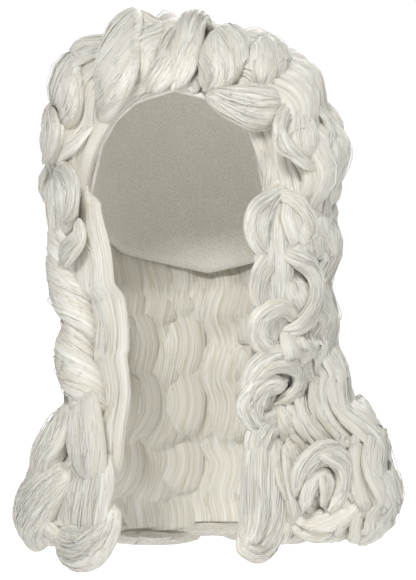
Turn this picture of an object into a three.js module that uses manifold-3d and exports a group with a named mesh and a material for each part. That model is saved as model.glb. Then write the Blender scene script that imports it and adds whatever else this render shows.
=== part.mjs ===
// A white full-bottomed judge's wig, in millimetres, +Z up.
// The origin is the middle of the wearer's head at the height of the ear tops. The face looks along -Y and
// the wearer's left is +X. A thin net cap carries the hair: waves combed off a parting, curls along the
// hairline, a ringlet beside each cheek, and waved lengths that fall to the shoulders.
// A place is given by the angle round the head (0 at the face, 90 at the left ear, 180 at the nape), the
// height above the ear tops, and how far out it stands from the head.

import * as THREE from "three";
import { mergeVertices } from "three/addons/utils/BufferGeometryUtils.js";
import Module from "manifold-3d";

const wasm = await Module();
wasm.setup();

// The head that the wig is made for
const HEAD_HALF_WIDTH = 77;
const HEAD_HALF_DEPTH = 97;
const HEAD_CROWN = 116;
const SKULL_TAPER = 150;

// The net cap, and the clearance that hair keeps from the cap and from its neighbours
const CAP_EASE = 0.6;
const CAP_WALL = 2;
const CAP_COLUMNS = 24;
const CAP_ROWS = 7;
const CLEARANCE = 0.5;
const HAIR_FOOT = 3.5;

// The top hair: its parting, how high it stands off the head, its waves, and its rough length and breadth
const PARTING_FRONT = -68;
const PARTING_BACK = 50;
const PARTING_OFFSET = 23;
const PARTING_GAP = 1;
const TOP_EDGE = 6;
const TOP_LIP = 31;
const TOP_WAVE_DEPTH = 4.5;
const TOP_WAVE_LENGTH = 42;
const TOP_FIRST_CREST = 11;
const TOP_LENGTH = 120;
const TOP_BREADTH = 80;
const TOP_COLUMNS = 11;
const TOP_ROWS = 22;

// The hanging lengths, the ringlets and the curls. The lengths lie clear of the cap beside it, may draw in
// under it, and spread out below the neck.
const NECK_HEIGHT = -105;
const BESIDE_CAP_HEIGHT = -55;
const UNDER_CAP_HEIGHT = -90;
const UNDER_CAP_FOOT = -40;
const FALL_WAVE_DEPTH = 6;
const FALL_WAVE_LENGTH = 45;
const FALL_WAVE_SLANT = 190;
const FALL_SWAY = 2.2;
const FALL_SIDES = 6;
const FALL_STEPS = 26;
const FALL_SQUARENESS = 0.7;
const RINGLET_SIDES = 6;
const RINGLET_STEPS_PER_TURN = 10;
const CURL_SIDES = 8;
const CURL_STEPS = 9;
const CURL_GROOVE = 0.09;
const ROLL_BOW = 0.5;
const FLAT_CURL_STRAND = 10;

// The fibre and the net
const HAIR = { color: 0xe6e3da, roughness: 0.5, metalness: 0 };
const NET = { color: 0xd8d2c4, roughness: 0.85, metalness: 0 };

// Height of the cap's edge round the head, from the forehead to the nape
const CAP_EDGE = [
  { around: 0, height: 80 },
  { around: 28, height: 72 },
  { around: 40, height: 60 },
  { around: 48, height: 42 },
  { around: 52, height: 6 },
  { around: 66, height: -12 },
  { around: 95, height: -2 },
  { around: 130, height: -32 },
  { around: 180, height: -46 },
];

// The two halves of the top hair, with the side of the parting that each lies on
const TOP_SIDES = [
  { name: "top_waves_left", side: 1 },
  { name: "top_waves_right", side: -1 },
];

// The hem of the top hair on each side, from the ear's front over the ear to the nape, and the place over
// which the hair bends on its way there. The first row follows the hairline of the forehead.
const TOP_HEM = [
  { share: 0, around: 56, height: 4, bendAround: 47, bendHeight: 72 },
  { share: 0.25, around: 70, height: -6, bendAround: 62, bendHeight: 80 },
  { share: 0.5, around: 98, height: -6, bendAround: 98, bendHeight: 84 },
  { share: 0.75, around: 136, height: -8, bendAround: 132, bendHeight: 80 },
  { share: 1, around: 179.7, height: -8, bendAround: 179.7, bendHeight: 66 },
];

// How far the top hair stands off the head on the wearer's left and right, from the parting down to the hem
const TOP_STAND = [
  { down: 0, left: 19, right: 22 },
  { down: 0.2, left: 19, right: 33 },
  { down: 0.45, left: 36, right: 46 },
  { down: 0.65, left: 41, right: 42 },
  { down: 0.85, left: 38, right: 34 },
  { down: 1, left: 34, right: 28 },
];

// How far the middle of the hanging hair stands out on the wearer's left and right: it draws in at the neck
// and spreads over the shoulders
const HANG = [
  { height: 20, left: 20, right: 14 },
  { height: -38, left: 15, right: 12 },
  { height: -70, left: 13, right: 3 },
  { height: -105, left: 20, right: -1 },
  { height: -130, left: 26, right: -8 },
  { height: -150, left: 38, right: -7 },
  { height: -170, left: 53, right: 9 },
  { height: -195, left: 62, right: 20 },
  { height: -215, left: 60, right: 34 },
  { height: -250, left: 53, right: 37 },
];

// The hanging locks. Half is half the angle that a lock takes up, inset is how far it lies behind the others,
// and spread is its share of the flare over the shoulders.
const FALLS = [
  { name: "side_fall_left_1", around: 66, half: 9, root: -4, tip: -243, depth: 28, inset: 2, spread: 0.2 },
  { name: "side_fall_left_2", around: 85, half: 10, root: -8, tip: -246, depth: 31, inset: 0, spread: 0.95 },
  { name: "side_fall_left_3", around: 106, half: 11, root: -7.7, tip: -238, depth: 31, inset: 0, spread: 1 },
  { name: "back_fall_1", around: 130, half: 13, root: -9.4, tip: -240, depth: 30, inset: 0, spread: 0.8 },
  { name: "back_fall_2", around: 156, half: 13, root: -10, tip: -247, depth: 30, inset: 0, spread: 0.6 },
  { name: "back_fall_3", around: 182, half: 13, root: -10, tip: -242, depth: 30, inset: 0, spread: 0.6 },
  { name: "back_fall_4", around: 209, half: 14, root: -10, tip: -247, depth: 30, inset: 0, spread: 0.65 },
  { name: "back_fall_5", around: 236, half: 13, root: -9.4, tip: -240, depth: 30, inset: 0, spread: 0.8 },
  { name: "side_fall_right_3", around: 262, half: 13, root: -7.7, tip: -236, depth: 28, inset: 0, spread: 1 },
  { name: "side_fall_right_2", around: 288, half: 12, root: -6, tip: -194, depth: 13, inset: 9, spread: 0.7 },
  { name: "side_fall_right_1", around: 312, half: 11, root: 3, tip: -188, depth: 14, inset: 6, spread: 0.3 },
];

// The ringlets: one thick lock coiled about a line that hangs beside the cheek. The sign of turns is its
// hand.
const RINGLETS = [
  { name: "ringlet_left", turns: -4.6, strand: 6 },
  { name: "ringlet_right", turns: 4.2, strand: 5.5 },
];
const RINGLET_LINES = {
  ringlet_left: [
    { share: 0, around: 48, height: 14, out: 16, radius: 13 },
    { share: 0.5, around: 50, height: -78, out: 14, radius: 14 },
    { share: 1, around: 45, height: -172, out: 8, radius: 11 },
  ],
  ringlet_right: [
    { share: 0, around: -61, height: -2, out: 22, radius: 10 },
    { share: 0.3, around: -61, height: -48, out: 19, radius: 11 },
    { share: 0.65, around: -53, height: -104, out: 13, radius: 9 },
    { share: 1, around: -46, height: -160, out: 14, radius: 9 },
  ],
};

// Barrel rolls: hair wound about an axis that lies along the head. Lean is the axis's tilt from upright.
const ROLLS = [
  { name: "fringe_roll_right_1", around: 3, height: 109, out: 24, lean: 0, length: 68, radius: 12 },
  { name: "fringe_roll_right_2", around: -20, height: 106, out: 26, lean: -4, length: 56, radius: 12 },
  { name: "fringe_roll_right_3", around: -34, height: 98, out: 32, lean: -12, length: 92, radius: 16 },
  { name: "fringe_roll_right_4", around: -55, height: 82, out: 30, lean: -22, length: 56, radius: 14 },
  { name: "temple_curl_right_1", around: -68, height: 49, out: 29, lean: -80, length: 46, radius: 15 },
  { name: "temple_curl_right_2", around: -62, height: 13, out: 23, lean: -84, length: 44, radius: 15 },
  { name: "fringe_roll_left_1", around: 33, height: 101, out: 23, lean: 4, length: 58, radius: 15 },
  { name: "fringe_roll_left_2", around: 62, height: 103, out: 28, lean: 10, length: 52, radius: 14 },
  { name: "fringe_roll_left_3", around: 41, height: 72, out: 21, lean: 72, length: 64, radius: 16 },
  { name: "end_curl_left_1", around: 43, height: -208, out: 9, lean: 4, length: 84, radius: 12 },
  { name: "end_curl_right_1", around: -42, height: -210, out: 13, lean: -4, length: 86, radius: 17 },
  { name: "end_curl_right_2", around: -62, height: -213, out: 31, lean: -14, length: 72, radius: 20 },
];

// Flat curls: a lock turned round in the plane of the head. Start and turn are in degrees, from straight up.
const FLAT_CURLS = [
  { name: "temple_curl_left", around: 60, height: 50, out: 33, across: 14, tall: 19, start: -30, turn: 330 },
  { name: "end_curl_left_2", around: 66, height: -192, out: 37, across: 15, tall: 16, start: -99, turn: 300 },
];

const { degToRad, radToDeg, lerp, smoothstep, clamp } = THREE.MathUtils;

// Reads one column of a table at a place along another, straight between rows and on past the ends.
function along(table, place, value, at) {
  const falling = table[0][place] > table[table.length - 1][place];
  const rows = falling ? [...table].reverse() : table;
  const after = rows.findIndex((row) => row[place] >= at);
  const next = after === -1 ? rows.length - 1 : Math.max(1, after);
  const low = rows[next - 1];
  const high = rows[next];
  return lerp(low[value], high[value], (at - low[place]) / (high[place] - low[place]));
}

// A point that stands off the head. Hair hangs straight below the ear tops.
function onHead(around, height, out) {
  const turn = degToRad(around);
  const shrink = height > 0 ? Math.sqrt(Math.max(0, 1 - (height / (HEAD_CROWN + out)) ** 2)) : 1;
  return new THREE.Vector3(
    (HEAD_HALF_WIDTH + out) * shrink * Math.sin(turn),
    -(HEAD_HALF_DEPTH + out) * shrink * Math.cos(turn),
    height,
  );
}

// The way out from the head at such a point.
function awayFromHead(point, out) {
  return new THREE.Vector3(
    point.x / (HEAD_HALF_WIDTH + out) ** 2,
    point.y / (HEAD_HALF_DEPTH + out) ** 2,
    Math.max(0, point.z) / (HEAD_CROWN + out) ** 2,
  ).normalize();
}

// The direction of a point on the head from its middle, with the head's half sizes taken as one, and back.
function directionOf(point) {
  const halfSizes = new THREE.Vector3(HEAD_HALF_WIDTH, HEAD_HALF_DEPTH, HEAD_CROWN);
  return point.clone().divide(halfSizes).normalize();
}

function towards(direction, out) {
  const halfSizes = new THREE.Vector3(HEAD_HALF_WIDTH + out, HEAD_HALF_DEPTH + out, HEAD_CROWN + out);
  return direction.clone().multiply(halfSizes);
}

// Moves every corner of a closed blank.
function reshape(blank, move) {
  const bare = blank.clone();
  bare.deleteAttribute("normal");
  bare.deleteAttribute("uv");
  const merged = mergeVertices(bare, 1e-4);
  const place = merged.getAttribute("position");
  const corner = new THREE.Vector3();
  for (let i = 0; i < place.count; i += 1) {
    const moved = move(corner.fromBufferAttribute(place, i));
    place.setXYZ(i, moved.x, moved.y, moved.z);
  }
  return merged;
}

// A closed geometry as a solid that can be joined and cut, with its faces looking out.
function solidOf(geometry) {
  const vertProperties = new Float32Array(geometry.getAttribute("position").array);
  const triVerts = new Uint32Array(geometry.index.array);
  const solid = new wasm.Manifold(new wasm.Mesh({ numProp: 3, vertProperties, triVerts }));
  if (solid.volume() > 0) return solid;
  for (let i = 0; i < triVerts.length; i += 3) {
    [triVerts[i + 1], triVerts[i + 2]] = [triVerts[i + 2], triVerts[i + 1]];
  }
  return new wasm.Manifold(new wasm.Mesh({ numProp: 3, vertProperties, triVerts }));
}

function geometryOf(solid) {
  const mesh = solid.getMesh();
  return new THREE.BufferGeometry()
    .setAttribute("position", new THREE.BufferAttribute(new Float32Array(mesh.vertProperties), 3))
    .setIndex(new THREE.BufferAttribute(new Uint32Array(mesh.triVerts), 1))
    .toNonIndexed();
}

// A lock of hair: a round blank bent along a path. The path gives the middle and the way the broad face
// looks, and the section gives half the width and half the depth there.
function lock(path, section, sides, steps) {
  const blank = new THREE.CylinderGeometry(1, 1, 1, sides, steps);
  const nudge = 0.5 / steps;
  const bent = reshape(blank, (corner) => {
    const share = corner.y + 0.5;
    const { middle, face } = path(share);
    const ahead = path(Math.min(1, share + nudge)).middle;
    const run = ahead.sub(path(Math.max(0, share - nudge)).middle).normalize();
    const outward = face.clone().addScaledVector(run, -face.dot(run)).normalize();
    const across = new THREE.Vector3().crossVectors(run, outward);
    const { width, depth } = section(share, Math.atan2(corner.z, corner.x));
    const beside = middle.clone().addScaledVector(across, corner.x * width);
    return beside.addScaledVector(outward, corner.z * depth);
  });
  return solidOf(bent);
}

// The ends of a lock draw in to a blunt tip over a share of its length.
function drawnIn(share, least, taper = 0.16) {
  return lerp(least, 1, Math.sqrt(smoothstep(Math.min(share, 1 - share), 0, taper)));
}

// The net cap: a flat round blank of two layers, draped over the head down to the cap's edge.
function cap() {
  const profile = [];
  for (let row = 0; row <= CAP_ROWS; row += 1) profile.push(new THREE.Vector2(row / CAP_ROWS, 0));
  for (let row = CAP_ROWS; row >= 0; row -= 1) profile.push(new THREE.Vector2(row / CAP_ROWS, 1));
  const blank = new THREE.LatheGeometry(profile, CAP_COLUMNS);
  return solidOf(
    reshape(blank, (corner) => {
      const share = Math.hypot(corner.x, corner.z);
      const turn = Math.atan2(corner.x, -corner.z);
      const edge = along(CAP_EDGE, "around", "height", Math.abs(radToDeg(turn)));
      const rise = lerp(Math.PI / 2, Math.asin(edge / (edge > 0 ? HEAD_CROWN : SKULL_TAPER)), share);
      const out = corner.y > 0.5 ? CAP_EASE + CAP_WALL : CAP_EASE;
      return new THREE.Vector3(
        (HEAD_HALF_WIDTH + out) * Math.cos(rise) * Math.sin(turn),
        -(HEAD_HALF_DEPTH + out) * Math.cos(rise) * Math.cos(turn),
        ((rise > 0 ? HEAD_CROWN : SKULL_TAPER) + out) * Math.sin(rise),
      );
    }),
  );
}

// The room that the head and the cap take up, which no curl enters.
function headRoom() {
  const blank = new THREE.SphereGeometry(1, CAP_COLUMNS, 2 * CAP_ROWS);
  const room = CAP_EASE + CAP_WALL + 2 * CLEARANCE;
  return solidOf(reshape(blank, (corner) => towards(new THREE.Vector3(corner.x, corner.z, corner.y), room)));
}

// The hair combed off one side of the parting: a thick sheet whose waves run from front to back.
function topWaves({ side }, grow) {
  const blank = new THREE.BoxGeometry(1, 1, 1, TOP_COLUMNS, TOP_ROWS, 1);
  return solidOf(
    reshape(blank, (corner) => {
      const column = corner.x + 0.5;
      const row = (corner.y + 0.5) * (1 + grow / TOP_LENGTH);
      const place = lerp(-grow / TOP_BREADTH, 1, column);
      const back = lerp(PARTING_FRONT, PARTING_BACK, place);
      const slip = PARTING_OFFSET * clamp(-back / HEAD_HALF_DEPTH, 0, 1) + (side * PARTING_GAP) / 2;
      const rootSpread = (slip / HEAD_HALF_WIDTH) ** 2 + (back / HEAD_HALF_DEPTH) ** 2;
      const root = directionOf(new THREE.Vector3(slip, back, HEAD_CROWN * Math.sqrt(1 - rootSpread)));
      const hem = (value) => along(TOP_HEM, "share", value, place);
      const bend = directionOf(onHead(side * hem("bendAround"), hem("bendHeight"), 0));
      const foot = directionOf(onHead(side * hem("around"), hem("height"), 0));
      const way = root.clone().multiplyScalar((1 - row) ** 2);
      way.addScaledVector(bend, 2 * row * (1 - row)).addScaledVector(foot, row ** 2).normalize();
      if (corner.z < 0) return towards(way, HAIR_FOOT - grow);
      const run = row * (root.angleTo(bend) + bend.angleTo(foot)) * HEAD_CROWN;
      const wave = TOP_WAVE_DEPTH * Math.cos((2 * Math.PI * (run - TOP_FIRST_CREST)) / TOP_WAVE_LENGTH);
      const stand = (value) => along(TOP_STAND, "down", value, row);
      const lean = smoothstep(column, 0.6, 1) / 2;
      const near = side > 0 ? "left" : "right";
      const far = side > 0 ? "right" : "left";
      const crown = lerp(stand(near), stand(far), lean) + wave;
      const front = lerp(TOP_EDGE, crown, smoothstep(column, 0, 0.28));
      const parted = lerp(TOP_EDGE + 4, front, smoothstep(row, 0, 0.05));
      const lip = lerp(TOP_EDGE, TOP_LIP, smoothstep(column, 0.2, 0.45));
      return towards(way, lerp(parted, Math.min(lip, parted), smoothstep(row, 0.84, 1)) + grow);
    }),
  );
}

// A hanging lock, waved in and out and from side to side all the way down. Beside and behind the cap it stays
// clear of the net.
function fall(row, grow) {
  const blank = new THREE.CylinderGeometry(1, 1, 1, FALL_SIDES, FALL_STEPS);
  const leftness = 0.5 + 0.5 * Math.sin(degToRad(row.around));
  return solidOf(
    reshape(blank, (corner) => {
      const share = 0.5 - corner.y;
      const height = lerp(row.root + grow, row.tip - grow, share);
      const turn = 2 * Math.PI * (height / FALL_WAVE_LENGTH);
      const hangLeft = along(HANG, "height", "left", height);
      const hang = lerp(along(HANG, "height", "right", height), hangLeft, leftness);
      const neck = along(HANG, "height", "right", NECK_HEIGHT);
      const flare = height < NECK_HEIGHT ? lerp(neck, hang, row.spread) : hang;
      const slant = (2 * Math.PI * Math.abs(row.around - 180)) / FALL_WAVE_SLANT;
      const besideCap = smoothstep(height, UNDER_CAP_HEIGHT, BESIDE_CAP_HEIGHT);
      const nearest = lerp(UNDER_CAP_FOOT, HAIR_FOOT + CLEARANCE, besideCap);
      const waved = flare - row.inset + FALL_WAVE_DEPTH * Math.cos(turn - slant);
      const middle = Math.max(waved, nearest + row.depth / 4);
      const tip = lerp(0.5, 1, Math.sqrt(smoothstep(1 - share, 0, 0.12)));
      const slim = tip * lerp(0.7, 1, smoothstep(share, 0, 0.1));
      const round = (value) => Math.sign(value) * Math.abs(value) ** FALL_SQUARENESS;
      const gap = radToDeg(CLEARANCE / HEAD_HALF_WIDTH);
      const half = (row.half - gap) * tip + radToDeg(grow / HEAD_HALF_WIDTH);
      const around = row.around + round(corner.x) * half + FALL_SWAY * Math.sin(turn);
      const out = Math.max(nearest, middle + round(corner.z) * ((row.depth / 2) * slim + grow));
      return onHead(around, height, out);
    }),
  );
}

// A ringlet: one thick lock coiled about its hanging line.
function ringlet(row, grow) {
  const line = RINGLET_LINES[row.name];
  const path = (share) => {
    const at = (column) => along(line, "share", column, share);
    const middle = onHead(at("around"), at("height"), at("out"));
    const turn = 2 * Math.PI * row.turns * share;
    const outward = new THREE.Vector3(middle.x, middle.y, 0).normalize();
    const across = new THREE.Vector3(0, 0, 1).cross(outward);
    const face = outward.multiplyScalar(Math.cos(turn)).addScaledVector(across, Math.sin(turn));
    return { middle: middle.addScaledVector(face, at("radius")), face };
  };
  const section = (share) => {
    const slim = drawnIn(share, 0.5);
    return { width: row.strand * 1.5 * slim + grow, depth: row.strand * slim + grow };
  };
  return lock(path, section, RINGLET_SIDES, Math.round(Math.abs(row.turns) * RINGLET_STEPS_PER_TURN));
}

// Where a curl lies on the head: its centre, the way out, and the ways across and down the head there.
function seatOf(row) {
  const centre = onHead(row.around, row.height, row.out);
  const outward = awayFromHead(centre, row.out);
  const across = new THREE.Vector3(0, 0, 1).cross(outward).normalize();
  const down = new THREE.Vector3().crossVectors(across, outward);
  if (down.z > 0) down.negate();
  return { centre, outward, across, down };
}

// A barrel roll, thickest in the middle and bowed to the head, with the groove of its winding round it.
function roll(row, grow) {
  const { centre, outward, across, down } = seatOf(row);
  const lean = degToRad(row.lean);
  const axis = down.multiplyScalar(Math.cos(lean)).addScaledVector(across, Math.sin(lean));
  const path = (share) => {
    const middle = centre.clone().addScaledVector(axis, (share - 0.5) * row.length);
    middle.addScaledVector(outward, -ROLL_BOW * row.radius * (2 * share - 1) ** 2);
    return { middle, face: outward };
  };
  const section = (share, angle) => {
    const winding = 1 + CURL_GROOVE * Math.cos(angle + (Math.PI * row.length * share) / row.radius);
    const radius = row.radius * winding * drawnIn(share, 0.35, 0.32) + grow;
    return { width: radius, depth: radius };
  };
  return lock(path, section, CURL_SIDES, CURL_STEPS);
}

// A flat curl: its lock rises a little out of the hair as it turns.
function flatCurl(row, grow) {
  const { centre, outward, across, down } = seatOf(row);
  const path = (share) => {
    const turn = degToRad(row.start + row.turn * share);
    const middle = centre.clone().addScaledVector(across, row.across * Math.sin(turn));
    middle.addScaledVector(down, -row.tall * Math.cos(turn));
    return { middle: middle.addScaledVector(outward, FLAT_CURL_STRAND * 0.4 * share), face: outward };
  };
  const section = (share) => {
    const slim = drawnIn(share, 0.5);
    return { width: FLAT_CURL_STRAND * 0.8 * slim + grow, depth: FLAT_CURL_STRAND * slim + grow };
  };
  return lock(path, section, CURL_SIDES, CURL_STEPS + 2);
}

// The largest body of a cut piece: crumbs that a cut leaves are dropped.
function largest(solid) {
  return solid.decompose().reduce((best, body) => (body.volume() > best.volume() ? body : best));
}

const wig = new THREE.Group();
const keptClear = [];

function add(name, solid, finish) {
  const mesh = new THREE.Mesh(geometryOf(solid), new THREE.MeshStandardMaterial(finish));
  mesh.name = name;
  wig.add(mesh);
}

// Adds pieces of hair that lie side by side, cut back from what is in place, and then keeps room for them.
function addHair(rows, make) {
  for (const row of rows) {
    const cut = keptClear.reduce((solid, room) => solid.subtract(room), make(row, 0));
    add(row.name, largest(cut), HAIR);
  }
  keptClear.push(...rows.map((row) => make(row, CLEARANCE)));
}

add("cap", cap(), NET);
addHair(TOP_SIDES, topWaves);
addHair(FALLS, fall);
keptClear.push(headRoom());
addHair(RINGLETS, ringlet);
for (const row of FLAT_CURLS) addHair([row], flatCurl);
for (const row of ROLLS) addHair([row], roll);

export default wig;
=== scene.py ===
import math

import bpy
import numpy as np
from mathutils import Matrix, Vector


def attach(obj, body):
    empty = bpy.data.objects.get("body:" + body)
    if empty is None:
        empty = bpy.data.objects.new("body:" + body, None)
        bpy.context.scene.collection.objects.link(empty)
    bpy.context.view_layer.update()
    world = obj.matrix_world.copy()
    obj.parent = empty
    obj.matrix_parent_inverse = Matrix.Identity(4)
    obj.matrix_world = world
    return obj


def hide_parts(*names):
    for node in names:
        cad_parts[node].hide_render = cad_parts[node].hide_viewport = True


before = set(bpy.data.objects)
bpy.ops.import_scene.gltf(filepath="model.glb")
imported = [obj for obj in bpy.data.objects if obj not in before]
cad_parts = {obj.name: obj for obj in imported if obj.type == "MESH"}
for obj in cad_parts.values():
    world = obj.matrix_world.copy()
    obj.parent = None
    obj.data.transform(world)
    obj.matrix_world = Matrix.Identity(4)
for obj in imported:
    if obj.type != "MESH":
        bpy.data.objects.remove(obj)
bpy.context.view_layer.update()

# The net cap: a thin knitted net, cut to a close-fitting dome and edged with a narrow band. The hair is
# knotted to its outside, so from the front only its inside shows.
MM = 0.001
HALF_WIDTH, HALF_DEPTH, CROWN, TAPER = 77.0, 97.0, 116.0, 150.0
CAP_INSIDE, CAP_OUTSIDE, CAP_COLUMNS, CAP_ROWS = 0.6, 2.6, 120, 40
BAND_ROWS, BAND_INSIDE, BAND_OUTSIDE = 3, -0.28, 0.7
CAP_EDGE = np.array([
    # around, height
    (0, 80), (28, 72), (40, 60), (48, 42), (52, 6), (66, -12), (95, -2), (130, -32), (180, -46),
], float)
NET_SHADE, NET_PALE = (0.78, 0.75, 0.68), (0.92, 0.90, 0.84)


class Shade:
    """A socket of a node tree, so that sums on it can be written as sums."""

    def __init__(self, tree, socket=None):
        self.tree, self.socket = tree, socket

    def fill(self, node, values):
        """Gives a node's inputs their values or links."""
        for key, value in values.items():
            if isinstance(value, Shade):
                self.tree.links.new(value.socket, node.inputs[key])
            else:
                node.inputs[key].default_value = value

    def node(self, kind, settings=None, values=None, out=0):
        """Adds a node with its settings and inputs, and returns one of its outputs."""
        made = self.tree.nodes.new(kind)
        for name, value in (settings or {}).items():
            setattr(made, name, value)
        self.fill(made, values or {})
        return Shade(self.tree, made.outputs[out])

    def math(self, operation, *values):
        return self.node("ShaderNodeMath", {"operation": operation}, dict(enumerate(values)))

    def __add__(self, other):
        return self.math("ADD", self, other)

    def __sub__(self, other):
        return self.math("SUBTRACT", self, other)

    def __rsub__(self, other):
        return self.math("SUBTRACT", other, self)

    def __mul__(self, other):
        return self.math("MULTIPLY", self, other)

    __radd__ = __add__
    __rmul__ = __mul__


def new_material(name):
    """A material, its surface node and its tree to write sums in."""
    material = bpy.data.materials.new(name)
    material.use_nodes = True
    surface = material.node_tree.nodes["Principled BSDF"]
    return material, surface, Shade(material.node_tree)


def mix_colour(tree, share, first, second):
    """A colour between two, by a share that changes over the surface."""
    return tree.node(
        "ShaderNodeMix", {"data_type": "RGBA"}, {0: share, 6: (*first, 1), 7: (*second, 1)}, out=2
    )


net, surface, tree = new_material("knitted net")
spot = tree.node("ShaderNodeTexCoord", out=3)
threads = tree.node(
    "ShaderNodeTexVoronoi", {"feature": "DISTANCE_TO_EDGE"}, {"Vector": spot, "Scale": 420.0}
)
mesh_line = threads.math("LESS_THAN", threads, 0.16)
patchy = tree.node("ShaderNodeTexNoise", None, {"Vector": spot, "Scale": 60.0, "Detail": 3.0})
colour = mix_colour(tree, mesh_line * 0.6 + patchy * 0.4, NET_SHADE, NET_PALE)
bump = tree.node("ShaderNodeBump", None, {"Strength": 0.5, "Distance": 0.0006, "Height": mesh_line})
tree.fill(surface, {"Base Color": colour, "Normal": bump, "Roughness": 0.85})

around = np.radians(np.arange(CAP_COLUMNS) * 360.0 / CAP_COLUMNS)
edge = np.interp(np.degrees(np.abs(np.angle(np.exp(1j * around)))), CAP_EDGE[:, 0], CAP_EDGE[:, 1])
edge_rise = np.arcsin(edge / np.where(edge > 0, CROWN, TAPER))
points, faces = [], []
for wall, band in ((CAP_INSIDE, BAND_INSIDE), (CAP_OUTSIDE, BAND_OUTSIDE)):
    for row in range(1, CAP_ROWS + 1):
        rise = math.pi / 2 + (edge_rise - math.pi / 2) * row / CAP_ROWS
        out = wall + band * (row > CAP_ROWS - BAND_ROWS)
        points.extend(np.stack([
            (HALF_WIDTH + out) * np.cos(rise) * np.sin(around),
            -(HALF_DEPTH + out) * np.cos(rise) * np.cos(around),
            (np.where(rise > 0, CROWN, TAPER) + out) * np.sin(rise),
        ], 1))
    points.append((0, 0, CROWN + wall))
wall_points = CAP_ROWS * CAP_COLUMNS + 1
last_ring = (CAP_ROWS - 1) * CAP_COLUMNS
for start, facing in ((0, -1), (wall_points, 1)):
    top = start + wall_points - 1
    for column in range(CAP_COLUMNS):
        beside = (column + 1) % CAP_COLUMNS
        faces.append((top, start + column, start + beside)[::facing])
        for upper in range(start, start + last_ring, CAP_COLUMNS):
            lower = upper + CAP_COLUMNS
            faces.append((upper + column, lower + column, lower + beside, upper + beside)[::facing])
for column in range(CAP_COLUMNS):
    inner, inner_beside = last_ring + column, last_ring + (column + 1) % CAP_COLUMNS
    faces.append((inner, inner_beside, inner_beside + wall_points, inner + wall_points))
cap_mesh = bpy.data.meshes.new("net_cap")
cap_mesh.from_pydata((np.array(points) * MM).tolist(), [], faces)
cap_mesh.validate()
cap_mesh.shade_smooth()
cap_mesh.materials.append(net)
net_cap = bpy.data.objects.new("net_cap", cap_mesh)
bpy.context.scene.collection.objects.link(net_cap)
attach(net_cap, "root")
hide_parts("cap")

# The waves on top: white fibre knotted to the cap, combed away from an off-centre parting and set in finger
# waves, whose crests run from front to back. It lies in broad flat locks side by side, with single strands.
PARTING_FRONT, PARTING_BACK, PARTING_OFFSET, PARTING_GAP = -68.0, 50.0, 23.0, 2.5
TOP_HEM = np.array([
    # share, around, height, bend around, bend height
    (0, 56, 4, 47, 72),
    (0.25, 70, -6, 62, 80),
    (0.5, 98, -6, 98, 84),
    (0.75, 136, -8, 132, 80),
    (1, 179.7, -8, 179.7, 66),
])
TOP_STAND = np.array([
    # share of the way down, how far out on the left, on the right
    (0, 19, 22), (0.2, 19, 32), (0.45, 36, 42), (0.65, 41, 36), (0.85, 38, 31), (1, 34, 28),
])
TOP_WAVE, TOP_WAVE_LENGTH, TOP_FIRST_CREST, TOP_LOCKS, TOP_STEPS = 5.0, 42.0, 11.0, 13, 40
TOP_LAYERS = (
    # first lock, lift, tuck of the end, half width, share of single strands, looseness
    (1.0, -14.0, 6.0, 22.0, 0.0, 0.0),
    (1.0, -2.5, 12.0, 20.0, 0.1, 0.3),
    (0.5, 1.0, 20.0, 16.5, 1.0, 1.0),
)
HALF_SIZES, HAIR_DEPTH = np.array([HALF_WIDTH, HALF_DEPTH, CROWN]), 20.0
# The fibre's colour runs from a near-neutral white to a warm darker tone. The darker end stands partly for
# darker fibres and partly for painted shadow: its warmth is the warm colour of shade between the locks.
PALE, DARK_FIBRE_AND_SHADOW = (0.885, 0.88, 0.835), (0.60, 0.55, 0.435)

fibre, surface, tree = new_material("white wig fibre")
strand = tree.node("ShaderNodeAttribute", {"attribute_name": "strand"}, out=1)
single = tree.node("ShaderNodeAttribute", {"attribute_name": "fine"}, out=2)
fine = tree.node("ShaderNodeVectorMath", {"operation": "MULTIPLY"}, {0: strand, 1: (0.8, 0.8, 0.012)})
hairs = tree.node(
    "ShaderNodeTexNoise", None, {"Vector": fine, "Scale": 1.0, "Detail": 4.0, "Roughness": 0.62}
)
broad = tree.node("ShaderNodeVectorMath", {"operation": "MULTIPLY"}, {0: strand, 1: (0.25, 0.25, 0.012)})
clumps = tree.node("ShaderNodeTexNoise", None, {"Vector": broad, "Scale": 1.0, "Detail": 2.0})
# The tone changes at random over fibres and clumps, and the single strands are lighter than the broad locks
# under them: that step is painted shade beneath and between the strands.
tone = hairs * 2.4 + clumps * 1.0 + single * 0.16 - 1.2
tone = tone.math("MAXIMUM", tone.math("MINIMUM", tone, 1.0), 0.0)
colour = mix_colour(tree, tone, DARK_FIBRE_AND_SHADOW, PALE)
height = hairs + clumps * 0.8
bump = tree.node("ShaderNodeBump", None, {"Strength": 0.8, "Distance": 0.0012, "Height": height})
gloss = 0.26 + hairs * 0.24
tree.fill(surface, {
    "Base Color": colour,
    "Roughness": gloss,
    "Normal": bump,
    "Specular IOR Level": 0.5,
    "Sheen Weight": 0.2,
    "Subsurface Weight": 0.06,
    "Subsurface Radius": (1.0, 0.95, 0.85),
    "Subsurface Scale": 0.004,
})


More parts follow.
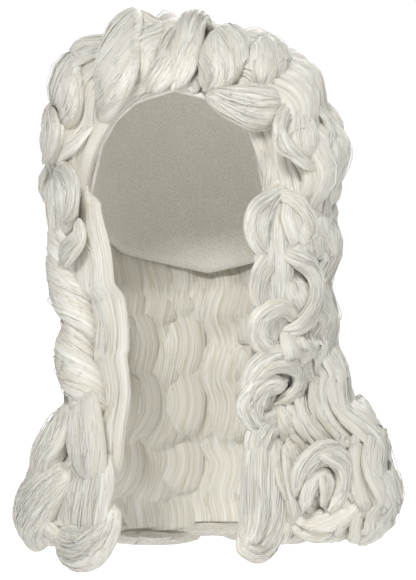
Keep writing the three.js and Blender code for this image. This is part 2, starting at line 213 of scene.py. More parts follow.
def lock_tree():
    """Sweeps the broad guides into combed oval locks and the fine ones into single strands."""
    group = bpy.data.node_groups.new("hair lock", "GeometryNodeTree")
    for name, kind in (
        ("Guides", "NodeSocketGeometry"),
        ("Sides", "NodeSocketInt"),
        ("Ridge Depth", "NodeSocketFloat"),
        ("Ridge Width", "NodeSocketFloat"),
        ("Ridge Length", "NodeSocketFloat"),
        ("Fibre", "NodeSocketMaterial"),
    ):
        group.interface.new_socket(name, in_out="INPUT", socket_type=kind)
    group.interface.new_socket("Locks", in_out="OUTPUT", socket_type="NodeSocketGeometry")
    tree = Shade(group)
    given = group.nodes.new("NodeGroupInput")
    size = {socket.name: Shade(group, socket) for socket in given.outputs}

    def kept(name, kind="FLOAT"):
        return tree.node("GeometryNodeInputNamedAttribute", {"data_type": kind}, {"Name": name})

    def keep(shape, name, value, kind="FLOAT"):
        return tree.node(
            "GeometryNodeStoreNamedAttribute", {"data_type": kind, "domain": "POINT"},
            {"Geometry": shape, "Name": name, "Value": value},
        )

    def vector(operation, first, second):
        return tree.node("ShaderNodeVectorMath", {"operation": operation}, {0: first, 1: second})

    def stretched(first, amount):
        return tree.node("ShaderNodeVectorMath", {"operation": "SCALE"}, {0: first, "Scale": amount})

    def xyz(x, y, z):
        return tree.node("ShaderNodeCombineXYZ", None, {0: x, 1: y, 2: z})

    guides = tree.node("GeometryNodeMeshToCurve", None, {"Mesh": size["Guides"]})
    guides = tree.node(
        "GeometryNodeSetCurveNormal", {"mode": "FREE"},
        {"Curve": guides, "Normal": kept("face", "FLOAT_VECTOR")},
    )
    guides = keep(guides, "along", tree.node("GeometryNodeSplineParameter", out=1))
    is_fine = tree.math("GREATER_THAN", kept("fine"), 0.5)
    parted = {"Geometry": guides, "Selection": is_fine}
    strands = tree.node("GeometryNodeSeparateGeometry", {"domain": "CURVE"}, parted, out=0)
    broad = tree.node("GeometryNodeSeparateGeometry", {"domain": "CURVE"}, parted, out=1)
    girth = kept("girth")
    place = tree.node("GeometryNodeInputPosition")

    def swept(curves, sides):
        ring = tree.node("GeometryNodeCurvePrimitiveCircle", None, {"Resolution": sides, "Radius": 1.0})
        ring = keep(ring, "ring", place, "FLOAT_VECTOR")
        return tree.node(
            "GeometryNodeCurveToMesh", None,
            {"Curve": curves, "Profile Curve": ring, "Scale": girth, "Fill Caps": True},
        )

    locks = swept(broad, size["Sides"])
    # Each point is pressed towards the guide along its face, which flattens the round sweep.
    gap = vector("SUBTRACT", place, kept("spine", "FLOAT_VECTOR"))
    face = kept("face", "FLOAT_VECTOR")
    depth = tree.node("ShaderNodeVectorMath", {"operation": "DOT_PRODUCT"}, {0: gap, 1: face}, out=1)
    press = stretched(face, depth * (kept("flat") - 1.0))
    locks = tree.node("GeometryNodeSetPosition", None, {"Geometry": locks, "Offset": press})
    shapes = tree.node("GeometryNodeJoinGeometry")
    joined = shapes.socket.node
    group.links.new(locks.socket, joined.inputs[0])
    group.links.new(swept(strands, 3).socket, joined.inputs[0])

    # Each point keeps its place in the run of the fibre, in millimetres and shifted by the lock's own seed.
    ring = stretched(kept("ring", "FLOAT_VECTOR"), girth * (1 / MM))
    deep_mm = tree.node("ShaderNodeSeparateXYZ", None, {0: ring}, out=0)
    side_mm = tree.node("ShaderNodeSeparateXYZ", None, {0: ring}, out=1)
    along_mm = kept("along") * (1 / MM)
    first_shift, second_shift = kept("seed") * 37.0, kept("seed") * 71.0
    down = xyz(side_mm + first_shift, deep_mm + second_shift, along_mm)
    wrap = kept("wrap")
    across = xyz(along_mm - side_mm * wrap * 2.4 + first_shift, second_shift, side_mm * 1.5)
    wrapped = tree.math("ABSOLUTE", wrap)
    strand = tree.node("ShaderNodeMix", {"data_type": "VECTOR"}, {0: wrapped, 4: down, 5: across}, out=1)
    shapes = keep(shapes, "strand", strand, "FLOAT_VECTOR")
    thin = tree.math("DIVIDE", 1.0, size["Ridge Width"])
    drawn = tree.math("DIVIDE", 1.0, size["Ridge Length"])
    ridges = vector("MULTIPLY", kept("strand", "FLOAT_VECTOR"), xyz(thin, thin, drawn))
    combed = tree.node(
        "ShaderNodeTexNoise", None, {"Vector": ridges, "Scale": 1.0, "Detail": 1.5, "Roughness": 0.55}
    )
    depth = (combed - 0.5) * size["Ridge Depth"] * tree.math("MINIMUM", girth * 130.0, 1.0)
    lift = stretched(tree.node("GeometryNodeInputNormal"), depth)
    shapes = tree.node(
        "GeometryNodeSetPosition", None,
        {"Geometry": shapes, "Selection": tree.math("LESS_THAN", kept("fine"), 0.5), "Offset": lift},
    )
    shapes = tree.node("GeometryNodeSetShadeSmooth", None, {"Geometry": shapes, "Shade Smooth": True})
    shapes = tree.node("GeometryNodeRealizeInstances", None, {"Geometry": shapes})
    shapes = tree.node("GeometryNodeSetMaterial", None, {"Geometry": shapes, "Material": size["Fibre"]})
    end = group.nodes.new("NodeGroupOutput")
    group.links.new(shapes.socket, end.inputs[0])
    return group


hair_lock = lock_tree()
LOCK_SIDES, RIDGE_DEPTH, RIDGE_WIDTH, RIDGE_LENGTH = 16, 1.0, 5.0, 90.0
STRAND, STRAND_STEPS, LOOSE_SHARE, WRAP_SLANT = 0.4, 8, 0.07, 0.8
dice = np.random.default_rng(41)


class Lock:
    """A lock of hair: the run of its centres, its outward faces, half widths in millimetres and flatness."""

    def __init__(self, spots, face, girth, flat, wrap=0.0, fine=0.0, fuzz=1.0):
        ahead = np.gradient(spots, axis=0)
        ahead /= np.linalg.norm(ahead, axis=1, keepdims=True)
        face = face - ahead * np.sum(face * ahead, axis=1, keepdims=True)
        self.face = face / np.linalg.norm(face, axis=1, keepdims=True)
        self.side = np.cross(ahead, self.face)
        self.spots, self.girth = spots, np.broadcast_to(girth, len(spots))
        self.flat, self.wrap, self.fine, self.fuzz = flat, wrap, fine, fuzz
        self.length = np.sum(np.linalg.norm(np.diff(spots, axis=0), axis=1))

    def at(self, share, angle, rise):
        """Places on the lock's skin at shares of its length and angles round it."""
        where = share * (len(self.spots) - 1)

        def read(values):
            return np.stack([np.interp(where, np.arange(len(values)), column) for column in values.T], 1)

        girth, face = read(self.girth[:, None]), read(self.face)
        spots = read(self.spots) + read(self.side) * (girth + rise[:, None]) * np.cos(angle)[:, None]
        return spots + face * (girth * self.flat + rise[:, None]) * np.sin(angle)[:, None], face

    def strands(self, density):
        """Single strands that lie along the lock, or slantwise over it where its fibre is wrapped."""
        made = []
        for _ in range(int(self.fuzz * density * self.length * self.girth.mean())):
            run = np.linspace(0, 1, STRAND_STEPS)
            if self.wrap:
                slide, middle = self.wrap * WRAP_SLANT, dice.uniform(0, 1)
                first, last = sorted((0.5 + (middle - 0.98) / slide, 0.5 + (middle - 0.02) / slide))
                run = np.linspace(max(0, first), min(1, last), STRAND_STEPS)
                angle = np.radians(-30 + 240 * run)
                share = middle - slide * (run - 0.5)
            else:
                part = min(1, dice.uniform(30, 70) / self.length)
                share = dice.uniform(0, 1 - part) + part * run
                wander = dice.normal(0, 0.1) * np.sin(run * dice.uniform(3, 7) + dice.uniform(0, 6))
                angle = math.acos(dice.uniform(-1, 1)) + wander
            swell = np.sin(np.pi * np.linspace(0, 1, STRAND_STEPS))
            loose = dice.uniform(1, 3.5) if dice.random() < LOOSE_SHARE else abs(dice.normal(0, 0.45))
            spots, face = self.at(share, angle, loose * swell ** 2 - 0.1)
            made.append(Lock(spots, face, STRAND * (0.35 + 0.65 * swell ** 0.5), 1.0, fine=1.0))
        return made


def add_hair(node, locks, density=0.022):
    """Sweeps all the locks of one piece into a mesh, with single strands on each."""
    runs = list(locks)
    for lock in locks:
        runs.extend(lock.strands(density))
    edges, first = [], 0
    for run in runs:
        edges.extend((first + i, first + i + 1) for i in range(len(run.spots) - 1))
        first += len(run.spots)
    spots = np.concatenate([run.spots for run in runs]) * MM
    mesh = bpy.data.meshes.new(node + "_hair")
    mesh.from_pydata(spots.tolist(), edges, [])
    each = [len(run.spots) for run in runs]
    for name, values in (
        ("spine", spots),
        ("face", np.concatenate([run.face for run in runs])),
        ("girth", np.concatenate([run.girth for run in runs]) * MM),
        ("flat", np.repeat([run.flat for run in runs], each)),
        ("wrap", np.repeat([run.wrap for run in runs], each)),
        ("fine", np.repeat([run.fine for run in runs], each)),
        ("seed", np.repeat(dice.uniform(0, 50, len(runs)), each)),
    ):
        kind, field = ("FLOAT_VECTOR", "vector") if values.ndim == 2 else ("FLOAT", "value")
        mesh.attributes.new(name, kind, "POINT").data.foreach_set(field, values.astype(np.float32).ravel())
    piece = bpy.data.objects.new(node + "_hair", mesh)
    bpy.context.scene.collection.objects.link(piece)
    sweep = piece.modifiers.new("hair lock", "NODES")
    sweep.node_group = hair_lock
    sizes = {
        "Sides": LOCK_SIDES,
        "Ridge Depth": RIDGE_DEPTH * MM,
        "Ridge Width": RIDGE_WIDTH,
        "Ridge Length": RIDGE_LENGTH,
        "Fibre": fibre,
    }
    for item in hair_lock.interface.items_tree:
        if item.in_out == "INPUT" and item.name in sizes:
            sweep[item.identifier] = sizes[item.name]
    finished = piece.evaluated_get(bpy.context.evaluated_depsgraph_get())
    swept = bpy.data.meshes.new_from_object(finished)
    piece.modifiers.clear()
    piece.data = swept
    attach(piece, "root")
    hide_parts(node)


def round_cap(around, height, out):
    """Places in millimetres, from the angle round the cap, the height and how far out they stand."""
    turn = np.radians(around)
    shrink = np.sqrt(np.clip(1 - (np.maximum(height, 0) / (CROWN + out)) ** 2, 0, 1))
    return np.stack(np.broadcast_arrays(
        (HALF_WIDTH + out) * shrink * np.sin(turn),
        -(HALF_DEPTH + out) * shrink * np.cos(turn),
        height + 0 * turn,
    ), -1)


def away_from_cap(spots):
    """Directions out of the cap at places in the hair, level below its middle."""
    look = spots / (HALF_SIZES + HAIR_DEPTH) ** 2
    look[..., 2] = np.maximum(look[..., 2], 0)
    return look / np.linalg.norm(look, axis=-1, keepdims=True)


def ease(value, low, high):
    """A smooth step from 0 at low to 1 at high."""
    share = np.clip((value - low) / (high - low), 0, 1)
    return share * share * (3 - 2 * share)


def combed_lock(side, share, lift, tuck, wobble, width, fuzz=1.0):
    """One lock of the top hair, from the parting to the hem."""
    down = np.linspace(0.0, 1.0, TOP_STEPS)
    back = PARTING_FRONT + (PARTING_BACK - PARTING_FRONT) * share
    slip = PARTING_OFFSET * np.clip(-back / HALF_DEPTH, 0, 1) + side * PARTING_GAP
    root = np.array([slip / HALF_WIDTH, back / HALF_DEPTH, 0])
    root[2] = math.sqrt(1 - root @ root)
    around, height, bend_around, bend_height = (
        np.interp(share, TOP_HEM[:, 0], TOP_HEM[:, column]) for column in range(1, 5)
    )
    bend = round_cap(side * bend_around, bend_height, 0.0) / HALF_SIZES
    foot = round_cap(side * around, height, 0.0) / HALF_SIZES
    bend, foot = bend / np.linalg.norm(bend), foot / np.linalg.norm(foot)
    way = np.outer((1 - down) ** 2, root) + np.outer(2 * down * (1 - down), bend)
    way = way + np.outer(down ** 2, foot)
    way /= np.linalg.norm(way, axis=1, keepdims=True)
    to_bend, to_foot = (np.arccos(np.clip(bend @ end, -1, 1)) for end in (root, foot))
    run = down * (to_bend + to_foot) * CROWN
    wave = TOP_WAVE * np.cos(2 * np.pi * (run - TOP_FIRST_CREST + wobble) / TOP_WAVE_LENGTH)
    near, far = (1, 2) if side > 0 else (2, 1)
    lean = ease(share, 0.6, 1.0) / 2
    table = TOP_STAND[:, near] * (1 - lean) + TOP_STAND[:, far] * lean
    stand = np.interp(down, TOP_STAND[:, 0], table)
    stand = stand - 6 + lift + wave
    stand = 5 + (stand - 5) * ease(share, -0.03, 0.32)
    spread = width * (0.5 + 0.5 * np.sin(0.62 * np.pi * down))
    low = 3.5 + 0.3 * spread
    stand = low + np.maximum(stand - low, 0) * ease(down, -0.03, 0.09)
    stand = stand + (tuck - stand) * ease(down, 0.86, 1.0)
    spots = way * (HALF_SIZES + stand[:, None])
    spread = spread * (1 - 0.5 * ease(down, 0.93, 1.0))
    return Lock(spots, away_from_cap(spots), spread, 0.3, fuzz=fuzz)


for side, node in ((1, "top_waves_left"), (-1, "top_waves_right")):
    locks = []
    for first, lift, tuck, width, fuzz, loose in TOP_LAYERS:
        for share in np.arange(first, TOP_LOCKS, 1.0) / TOP_LOCKS:
            share = float(np.clip(share + loose * dice.normal(0, 0.01), 0.0, 0.99))
            stand = lift + loose * dice.normal(0, 0.8)
            wobble = loose * dice.normal(0, 3.5)
            locks.append(combed_lock(side, share, stand, tuck, wobble, width, fuzz))
    locks.append(combed_lock(side, share=0.0, lift=-10.0, tuck=4.0, wobble=0.0, width=8.0))
    add_hair(node, locks)

# The lengths: waved locks of the same fibre that fall from under the top hair, drawn in half-way and flaring
# below. Each is several broad flat locks lying over each other, with their ends turned under, and on the left
# the lower edge of the flare is rolled.
HANG = np.array([
    # height, how far out on the left, on the right
    (-250, 58, 38), (-215, 66, 36), (-195, 67, 22), (-170, 58, 10), (-150, 43, -6), (-130, 30, -8),
    (-105, 25, -1), (-70, 18, 4), (-38, 21, 12), (20, 26, 14),
], float)
FALL_WAVE, FALL_WAVE_LENGTH, FALL_SLANT, FALL_DRIFT, FALL_SWAY = 5.0, 45.0, 190.0, 1.0, 4.0
FALLS = {
    # node: around, half angle, tip, depth, inset, spread, wave, lean of the root
    "side_fall_left_1": (66, 9, -237, 28, 2, 0.2, 0.9, 0),
    "side_fall_left_2": (85, 10, -239, 31, 0, 0.95, 0.6, 0),
    "side_fall_left_3": (106, 11, -238, 31, 0, 1.0, 0.6, 0),
    "back_fall_1": (130, 13, -240, 30, 0, 0.8, 0.7, 0),
    "back_fall_2": (156, 13, -247, 30, 0, 0.6, 0.8, 0),
    "back_fall_3": (182, 13, -242, 30, 0, 0.6, 0.8, 0),
    "back_fall_4": (209, 14, -247, 30, 0, 0.65, 0.8, 0),
    "back_fall_5": (236, 13, -240, 30, 0, 0.8, 0.7, 0),
    "side_fall_right_3": (262, 13, -236, 28, 0, 1.0, 0.7, 0),
    "side_fall_right_2": (288, 12, -194, 13, 9, 0.7, 0.4, 0),
    "side_fall_right_1": (312, 11, -188, 14, 6, 0.3, 0.2, -10),
}
BETWEEN = {
    # node: rows of the same columns, for locks that fill in between lengths that flare apart
    "side_fall_left_1": [(71, 7, -236, 26, 2, 0.38, 0.9, 0), (75, 7, -235, 26, 1, 0.55, 0.85, 0)],
    "side_fall_left_2": [(79, 7, -236, 28, 1, 0.72, 0.75, 0), (82, 7, -237, 29, 0, 0.84, 0.7, 0)],
    "side_fall_left_3": [(96, 9, -236, 30, 1, 0.98, 0.6, 0)],
    "side_fall_right_2": [(275, 12, -228, 20, 4, 0.9, 0.5, 0), (283, 12, -212, 18, 5, 0.8, 0.3, 0)],
}
ROLLED_END = [
    # around, height, out, half width, for the lower edge of the flare, which is rolled under
    (59, -214, 11, 8), (65, -221, 21, 15), (71, -222, 36, 17), (77, -218, 50, 17), (83, -212, 62, 15),
    (89, -205, 66, 11), (94, -200, 62, 6),
]
FALL_TOP, FALL_STEPS, FLARE_TOP, FLARE_BASE, INNER_WAVE = 14, 42, -105, 5, 0.55
END_TURN, END_BEND, END_STEPS, LAID_STEPS = 11.0, math.radians(130), 7, 32


def hanging_lock(row, aside, lift, girth, shorter, phase, waved=1.0, curl=END_TURN, fuzz=1.0, flat=0.3):
    """One lock of a length, from under the top hair down to its end, which is turned under."""
    around, half, tip, depth, inset, spread, wave, lean = row
    height = np.linspace(FALL_TOP, tip + shorter + curl, FALL_STEPS)
    left = 0.5 + 0.5 * math.sin(math.radians(around))
    hang = np.interp(height, HANG[:, 0], HANG[:, 2]) * (1 - left)
    hang = hang + np.interp(height, HANG[:, 0], HANG[:, 1]) * left
    hang = np.where(height < FLARE_TOP, FLARE_BASE + (hang - FLARE_BASE) * spread, hang)
    turn = 2 * np.pi * height / FALL_WAVE_LENGTH
    middle = around + aside * half
    drift = FALL_DRIFT * math.sin(math.radians(3 * middle + 30))
    slant = 2 * np.pi * abs(middle - 180) / FALL_SLANT + drift
    # Beside the cap a lock stays outside it, and below the cap it may hang further in.
    nearest = -40 + 44 * ease(height, -90, -55)
    swing = waved * wave * (1 - 0.6 * ease(-height, 195, 240))
    out = hang - inset + swing * FALL_WAVE * np.cos(turn - slant + phase)
    out = np.maximum(out, nearest + depth / 4)
    out = np.maximum(out + lift * depth, nearest + 4)
    out = 10 + (out - 10) * ease(-height, -18, 4)
    sway = swing * FALL_SWAY * np.sin(turn + 0.5 * phase) + lean * ease(height, -60, 10)
    bend = np.linspace(0, END_BEND, END_STEPS + 1)[1:]
    out = np.append(out, out[-1] - curl * (1 - np.cos(bend)))
    height = np.append(height, height[-1] - curl * np.sin(bend))
    sway = np.append(sway, np.full(END_STEPS, sway[-1]))
    spots = round_cap(middle + sway, height, out)
    outward = spots * (1, 1, 0)
    outward /= np.linalg.norm(outward, axis=1, keepdims=True)
    turned = np.append(np.zeros(FALL_STEPS), bend)[:, None]
    face = outward * np.cos(turned) + np.array([0, 0, -1]) * np.sin(turned)
    share = np.linspace(0, 1, len(height))
    width = math.radians(half) * (HALF_WIDTH + 8 + 0.6 * np.maximum(out, 0))
    width = width * girth * (1 - 0.55 * ease(share, 0.93, 1.0))
    width = width * (0.25 + 0.75 * ease(share, 0, 0.06))
    return Lock(spots, face, width, flat, fuzz=fuzz)


def through(rows, steps):
    """A smooth run through rows of values."""
    rows = np.asarray(rows, float)
    place = np.linspace(0, len(rows) - 1, steps)
    cell = np.minimum(place.astype(int), len(rows) - 2)
    part = (place - cell)[:, None]
    padded = np.vstack([2 * rows[0] - rows[1], rows, 2 * rows[-1] - rows[-2]])
    a, b, c, d = (padded[cell + k] for k in range(4))
    return b + 0.5 * part * (c - a + part * (2 * a - 5 * b + 4 * c - d + part * (3 * (b - c) + d - a)))


def laid_lock(rows, flat, wrap):
    """A lock through places round the cap, thin at both ends."""
    around, height, out, girth = through(rows, LAID_STEPS).T
    spots = round_cap(around, height, out)
    share = np.linspace(0, 1, LAID_STEPS)
    ends = np.clip(np.minimum(share, share[::-1]) / 0.06, 0.12, 1) ** 0.5
    return Lock(spots, away_from_cap(spots), np.maximum(girth, 1.0) * ends, flat, wrap)


def laid_locks(runs, flat, wrap=0.0):
    """For each run a broad lock, and two thinner ones that stray a little from it."""
    locks = []
    for rows in runs:
        rows = np.asarray(rows, float)
        locks.append(laid_lock(rows, flat, wrap))
        for aside in (-1, 1):
            stray = rows + dice.normal(0, 1, rows.shape) * (1.0, 1.2, 0.4, 0.3)
            stray[:, 0] += aside * 0.3 * np.degrees(rows[:, 3] / HALF_WIDTH)
            stray[:, 2] += 0.3 * flat * rows[:, 3]
            stray[:, 3] *= 0.5
            locks.append(laid_lock(stray, flat, wrap))
    return locks


for node, row in FALLS.items():
    shorter, phase = dice.uniform(0, 6), dice.normal(0, 0.15)
    locks = [hanging_lock(row, 0.0, 0.03, 1.3, shorter, phase, fuzz=0.25, flat=0.22)]
    for aside in (-0.45, 0.45):
        phase, shorter = dice.normal(0, 0.5), dice.uniform(0, 4)
        inner = {"waved": INNER_WAVE, "curl": 5.0, "fuzz": 0.1, "flat": 0.22}
        locks.append(hanging_lock(row, aside, -0.2, 1.3, shorter, phase, **inner))
    for aside in (-0.9, -0.45, 0.0, 0.45, 0.9):
        aside, shorter = aside + dice.normal(0, 0.12), dice.uniform(0, 12)
        lift, girth, phase = dice.uniform(0.04, 0.16), dice.uniform(0.42, 0.62), dice.normal(0, 0.7)
        locks.append(hanging_lock(row, aside, lift, girth, shorter, phase, curl=END_TURN / 2))
    for between in BETWEEN.get(node, ()):
        locks.append(hanging_lock(between, 0.0, 0.0, 2.0, dice.uniform(0, 8), 0.0, fuzz=0.2, flat=0.18))
        for aside in (-0.5, 0.5):
            shorter, phase = dice.uniform(0, 22), dice.normal(0, 0.4)
            over = {"curl": END_TURN / 2, "fuzz": 0.8, "flat": 0.2}
            locks.append(hanging_lock(between, aside, 0.06, 1.2, shorter, phase, **over))
    if node == "side_fall_left_2":
        locks.extend(laid_locks([ROLLED_END], 0.5, -0.6))
    add_hair(node, locks)

# The ringlets: locks of fibre wound round a rod to set them, and left to hang in loose coils on each side of
# the front opening. The left one opens into C and ring shapes down its length, and the right one is a
# tighter rope.
RINGLET_RIGHT = [
    # share, around, height, out, radius
    (0, -60, -2, 9, 5), (0.12, -60, -20, 17, 8), (0.3, -58, -48, 16, 8),
    (0.5, -54, -80, 10, 6), (0.68, -54, -106, 12, 8), (1, -43, -150, 11, 6),
]
RINGLET_RIGHT_TURNS = 2.7
RINGLET_RIGHT_COILS = (
    # start angle in radians, half width
    (0, 15.0), (2.8, 10.0), (4.2, 7.0),
)
RINGLET_RIGHT_END = [
    # around, height, out, half width
    (-45, -134, 11, 12), (-42, -146, 16, 17), (-39, -164, 19, 19), (-39, -182, 16, 18), (-41, -196, 9, 12),
]
RINGLET_RIGHT_BACKING = [
    # around, height, out, half width
    (-60, -6, 6, 10), (-64, -60, 2, 16), (-66, -105, 4, 17), (-64, -136, 5, 19), (-58, -172, 5, 9),
]
RINGLET_LEFT = [
    # each run: rows of around, height, out, half width
    [(52, 16, 12, 11), (49, -18, 15, 18), (50, -58, 15, 18),
     (49, -90, 12, 16), (47, -130, 7, 13), (45, -172, 4, 9)],
    [(56, 14, 17, 4), (46, 5, 20, 7), (38, -5, 22, 9), (37, -20, 22, 9), (44, -32, 18, 7), (54, -36, 12, 4)],
    [(48, 9, 19, 4), (58, 2, 24, 7), (63, -8, 26, 8), (64, -20, 26, 8), (58, -31, 23, 6), (50, -38, 16, 4)],
    [(49, -32, 20, 4), (57, -37, 24, 7), (66, -46, 27, 9),
     (69, -65, 27, 10), (63, -82, 24, 8), (53, -90, 18, 4)],
    [(54, -34, 17, 4), (43, -40, 20, 7), (39, -54, 20, 8), (41, -68, 18, 7), (50, -76, 14, 4)],
    [(62, -86, 20, 4), (51, -72, 22, 7), (40, -80, 20, 9),
     (40, -95, 19, 8), (50, -102, 19, 7), (58, -93, 20, 4)],
    [(36, -136, 10, 5), (38, -117, 17, 9), (50, -107, 20, 11),
     (61, -114, 21, 10), (62, -130, 18, 7), (53, -139, 12, 4)],
    [(57, -126, 16, 5), (44, -127, 17, 9), (37, -138, 15, 11),
     (40, -151, 14, 9), (49, -157, 14, 7), (57, -149, 14, 4)],
    [(56, -149, 12, 5), (45, -154, 14, 9), (41, -165, 12, 10), (43, -178, 9, 7)],
]


def coiled_lock(line, turns, phase, girth):
    """A lock wound round a hanging line, thin at both ends."""
    line = np.array(line, float)
    share = np.linspace(0, 1, int(18 * abs(turns)) + 6)
    around, height, out, radius = (np.interp(share, line[:, 0], line[:, k]) for k in range(1, 5))
    middle = round_cap(around, height, out)
    outward = middle * (1, 1, 0)
    outward /= np.linalg.norm(outward, axis=1, keepdims=True)
    across = np.cross((0, 0, 1), outward)
    turn = (2 * np.pi * turns * share + phase)[:, None]
    look = outward * np.cos(turn) + across * np.sin(turn)
    thin = np.sqrt(np.clip(np.minimum(share, 1 - share) / 0.1, 0.12, 1))
    return Lock(middle + look * radius[:, None], look, girth * thin, 0.55)


add_hair("ringlet_left", laid_locks(RINGLET_LEFT, 0.45), density=0.05)
locks = [coiled_lock(RINGLET_RIGHT, RINGLET_RIGHT_TURNS, *coil) for coil in RINGLET_RIGHT_COILS]
locks.extend(laid_locks([RINGLET_RIGHT_END, RINGLET_RIGHT_BACKING], 0.5))
add_hair("ringlet_right", locks, density=0.05)

# The barrel curls along the front edge of the cap: fibre rolled over a finger and set, so that its strands
# run across the roll, or along it where the lock is only bent over. The ends taper into the waves behind.
BENT_OVER = ("fringe_roll_right_1", "fringe_roll_left_3")
ROLLS = {
    # node: runs of around, height, out, half width
    "fringe_roll_right_1": [
        [(40, 122, 10, 9), (20, 134, 24, 11), (12, 129, 25, 10),
         (8, 113, 23, 11), (5, 96, 17, 10), (0, 82, 8, 5)],
        [(-2, 133, 20, 7), (-9, 120, 19, 11), (-13, 105, 15, 10), (-15, 92, 10, 5)],
        [(2, 113, 17, 4), (-4, 103, 18, 9), (-8, 91, 14, 11), (-15, 80, 7, 5)],
        [(-19, 98, 12, 5), (-18, 88, 9, 7), (-17, 79, 4, 3)],
        [(6, 98, 12, 5), (6, 89, 9, 7), (5, 80, 4, 3)],
    ],
    "fringe_roll_right_2": [
        [(-27, 132, 24, 5), (-23, 120, 23, 10), (-23, 108, 23, 12), (-22, 96, 17, 11), (-22, 82, 8, 5)],
    ],
    "fringe_roll_right_3": [
        [(-62, 142, 37, 6), (-46, 130, 33, 13), (-36, 110, 28, 18),
         (-32, 90, 25, 19), (-37, 72, 17, 14), (-47, 60, 9, 5)],
    ],
    "fringe_roll_right_4": [
        [(-80, 108, 37, 7), (-69, 100, 40, 13), (-57, 85, 37, 18), (-55, 68, 29, 15), (-66, 56, 20, 6)],
    ],
    "fringe_roll_left_1": [
        [(52, 128, 28, 6), (42, 119, 25, 14), (31, 106, 23, 17), (25, 91, 18, 14), (20, 79, 9, 6)],
        [(16, 100, 12, 5), (14, 90, 9, 7), (12, 79, 4, 3)],
    ],
    "fringe_roll_left_2": [
        [(84, 116, 30, 6), (74, 113, 28, 14), (57, 101, 27, 17), (48, 88, 21, 11), (43, 80, 16, 5)],
    ],
    "fringe_roll_left_3": [
        [(21, 79, 9, 5), (28, 74, 16, 13), (37, 70, 21, 17), (49, 70, 24, 16), (64, 77, 24, 6)],
    ],
}
for node, runs in ROLLS.items():
    wrap = 0.0 if node in BENT_OVER else 1.0 if "right" in node else -1.0
    add_hair(node, laid_locks(runs, 0.6, wrap), density=0.065)

# The temple curls: locks of fibre turned round on themselves and set against the side of the cap, the left
# one flat with a raised rim and the right ones as loops that face forwards.
TEMPLE_CURLS = {
    # node: runs of around, height, out, half width
    "temple_curl_left": [
        [(63, 74, 30, 5), (62, 60, 31, 14), (61, 45, 30, 17), (63, 31, 29, 8)],
        [(68, 56, 27, 12), (58, 52, 28, 16), (50, 47, 26, 11)],
        [(65, 77, 32, 3), (53, 67, 33, 5), (47, 53, 33, 6),
         (49, 40, 34, 6), (57, 30, 34, 5), (67, 27, 33, 3)],
        [(63, 77, 34, 3), (74, 68, 37, 5), (77, 53, 38, 6), (72, 37, 37, 6), (65, 24, 33, 3)],
        [(50, 57, 12, 3), (47, 41, 13, 5), (48, 23, 13, 5), (46, 6, 12, 3)],
        [(55, 36, 16, 3), (55, 20, 18, 5), (53, 4, 16, 3)],
    ],
    "temple_curl_right_1": [
        [(-76, 70, 24, 6), (-72, 54, 27, 16), (-72, 38, 26, 8)],
        [(-74, 72, 28, 7), (-63, 60, 31, 13), (-60, 46, 30, 13), (-66, 33, 28, 6)],
        [(-74, 70, 36, 3), (-62, 66, 38, 6), (-55, 54, 36, 7), (-57, 41, 34, 7), (-68, 33, 33, 4)],
        [(-46, 60, 12, 3), (-47, 51, 18, 5), (-51, 42, 23, 7), (-62, 32, 26, 5)],
    ],
    "temple_curl_right_2": [
        [(-74, 30, 20, 6), (-66, 8, 21, 14), (-62, -20, 20, 14), (-64, -36, 19, 6)],
        [(-66, 22, 20, 8), (-53, 11, 22, 14), (-51, -6, 21, 12), (-58, -20, 20, 6)],
        [(-67, 23, 24, 3), (-52, 26, 26, 6), (-43, 14, 26, 7), (-45, -3, 25, 7), (-60, -13, 21, 4)],
        [(-45, -8, 20, 3), (-42, -22, 21, 8), (-52, -34, 22, 10), (-61, -38, 17, 6), (-67, -40, 9, 3)],
    ],
}
for node, runs in TEMPLE_CURLS.items():
    add_hair(node, laid_locks(runs, 0.45), density=0.05)

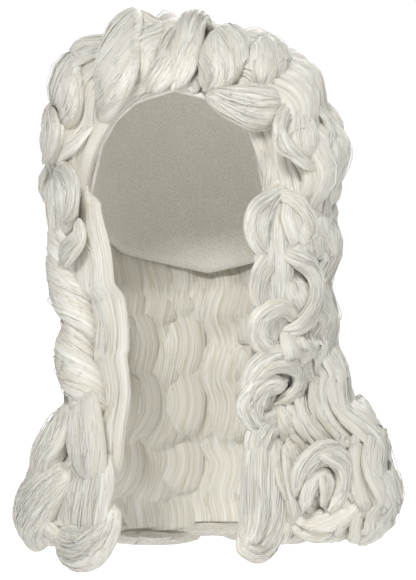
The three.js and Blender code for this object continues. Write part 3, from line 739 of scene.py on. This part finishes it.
# The end curls: the front ends of the lengths, set in full soft curls that are turned up and under. Each is a
# few broad locks of fibre laid over each other, and the outer left one is wound into a spiral.
END_CURLS = {
    # node: runs of around, height, out, half width
    "end_curl_left_1": [
        [(45, -150, 9, 6), (42, -170, 10, 10), (41, -195, 10, 11), (40, -222, 10, 11), (38, -238, 9, 8)],
        [(52, -158, 8, 9), (51, -192, 9, 14), (50, -222, 8, 13), (47, -239, 7, 7)],
        [(53, -168, 12, 5), (55, -197, 13, 7), (54, -224, 12, 8),
         (46, -243, 10, 8), (37, -240, 8, 6), (35, -224, 7, 3)],
    ],
    "end_curl_left_2": [
        [(55, -204, 27, 5), (53, -188, 34, 8), (57, -176, 41, 9), (63, -174, 46, 10),
         (68, -184, 49, 10), (69, -200, 48, 9), (65, -216, 42, 5)],
        [(58, -214, 30, 6), (58, -198, 35, 8), (61, -190, 40, 8), (64, -198, 42, 7), (63, -212, 38, 4)],
        [(59, -166, 14, 8), (60, -188, 20, 14), (61, -210, 20, 13), (62, -226, 15, 7)],
    ],
    "end_curl_right_1": [
        [(-52, -166, 6, 15), (-54, -198, 14, 24), (-56, -230, 16, 20)],
        [(-44, -170, 4, 14), (-44, -196, 9, 18), (-46, -222, 12, 18), (-48, -240, 10, 12)],
        [(-38, -176, 8, 12), (-35, -192, 12, 14), (-37, -212, 13, 15), (-40, -232, 11, 12)],
        [(-60, -222, 16, 12), (-51, -238, 19, 17), (-39, -240, 16, 17),
         (-31, -226, 11, 12), (-30, -210, 7, 7)],
    ],
    "end_curl_right_2": [
        [(-63, -138, 7, 9), (-57, -151, 17, 15), (-57, -165, 26, 17),
         (-61, -181, 31, 18), (-66, -198, 30, 13)],
        [(-50, -184, 20, 14), (-57, -201, 32, 20), (-66, -221, 37, 23), (-72, -241, 32, 15)],
        [(-80, -160, 6, 8), (-75, -182, 25, 14), (-70, -200, 33, 17),
         (-64, -221, 34, 18), (-54, -236, 22, 9)],
        [(-58, -196, 30, 12), (-70, -210, 38, 17), (-78, -226, 38, 17), (-80, -240, 32, 11)],
        [(-82, -150, -2, 8), (-86, -176, 13, 16), (-87, -204, 28, 19), (-85, -234, 29, 13)],
    ],
}
for node, runs in END_CURLS.items():
    add_hair(node, laid_locks(runs, 0.6), density=0.05)

# The stage: a pale painted floor well below the wig, in soft light all round. A key lamp is high in front,
# a weak one at the left and a broad one behind. The camera is level with the wig and a little to its left.
FLOOR_HALF, FLOOR_LEVEL = 40, -0.42
floor_mesh = bpy.data.meshes.new("floor")
corners = [(x * FLOOR_HALF, y * FLOOR_HALF, FLOOR_LEVEL) for x, y in ((-1, -1), (1, -1), (1, 1), (-1, 1))]
floor_mesh.from_pydata(corners, [], [(0, 1, 2, 3)])
floor_paint, surface, tree = new_material("pale floor")
spot = tree.node("ShaderNodeTexCoord", out=3)
speckle = tree.node("ShaderNodeTexNoise", None, {"Vector": spot, "Scale": 3.0})
tone = mix_colour(tree, speckle, (0.86, 0.86, 0.86), (0.90, 0.90, 0.90))
seen = tree.node("ShaderNodeLightPath", out=0)
glow = mix_colour(tree, seen, (0.25, 0.25, 0.25), (1, 1, 1))
tree.fill(surface, {"Base Color": tone, "Roughness": 0.9, "Emission Color": glow, "Emission Strength": 1.0})
floor_mesh.materials.append(floor_paint)
floor = bpy.data.objects.new("floor", floor_mesh)
bpy.context.scene.collection.objects.link(floor)

world = bpy.data.worlds.new("studio")
world.use_nodes = True
bpy.context.scene.world = world
sky = Shade(world.node_tree)
seen = sky.node("ShaderNodeLightPath", out=0)
sky.fill(world.node_tree.nodes["Background"], {"Strength": 0.26 + seen * 0.79, "Color": (1, 1, 1, 1)})


def add_lamp(name, place, aim, size, power):
    """A round lamp that looks at a place."""
    lamp = bpy.data.lights.new(name, "AREA")
    lamp.shape, lamp.size, lamp.energy = "DISK", size, power
    holder = bpy.data.objects.new(name, lamp)
    bpy.context.scene.collection.objects.link(holder)
    holder.location = place
    holder.rotation_euler = (Vector(aim) - Vector(place)).to_track_quat("-Z", "Y").to_euler()


add_lamp("key", (-0.1, -1.9, 1.3), (0, 0, -0.03), 0.5, 35)
add_lamp("fill", (1.6, -1.3, 0.4), (0, 0, -0.05), 1.0, 9)
add_lamp("back", (0.2, 1.8, 1.2), (0, 0, -0.03), 1.2, 18)

VIEW_TURN, VIEW_DISTANCE, SENSOR = math.radians(8), 2.6, 36
PICTURE_WIDE, PICTURE_HIGH, PIXELS_PER_MM = 416, 580, 1.38
ORIGIN_ACROSS, ORIGIN_DOWN = 190, 208
eye = bpy.data.cameras.new("eye")
eye.sensor_fit = "VERTICAL"
eye.sensor_height = SENSOR
eye.sensor_width = SENSOR
eye.lens = SENSOR * VIEW_DISTANCE / (PICTURE_HIGH / PIXELS_PER_MM * MM)
camera = bpy.data.objects.new("eye", eye)
bpy.context.scene.collection.objects.link(camera)
right = np.array([math.cos(VIEW_TURN), math.sin(VIEW_TURN), 0])
back = np.array([math.sin(VIEW_TURN), -math.cos(VIEW_TURN), 0])
up = np.array([0, 0, 1])
aim = right * (PICTURE_WIDE / 2 - ORIGIN_ACROSS) + up * (ORIGIN_DOWN - PICTURE_HIGH / 2)
aim = aim / PIXELS_PER_MM * MM
camera.location = aim + back * VIEW_DISTANCE
camera.rotation_euler = (math.pi / 2, 0, VIEW_TURN)
bpy.context.scene.camera = camera
bpy.context.scene.view_settings.view_transform = "Standard"

bpy.context.view_layer.update()
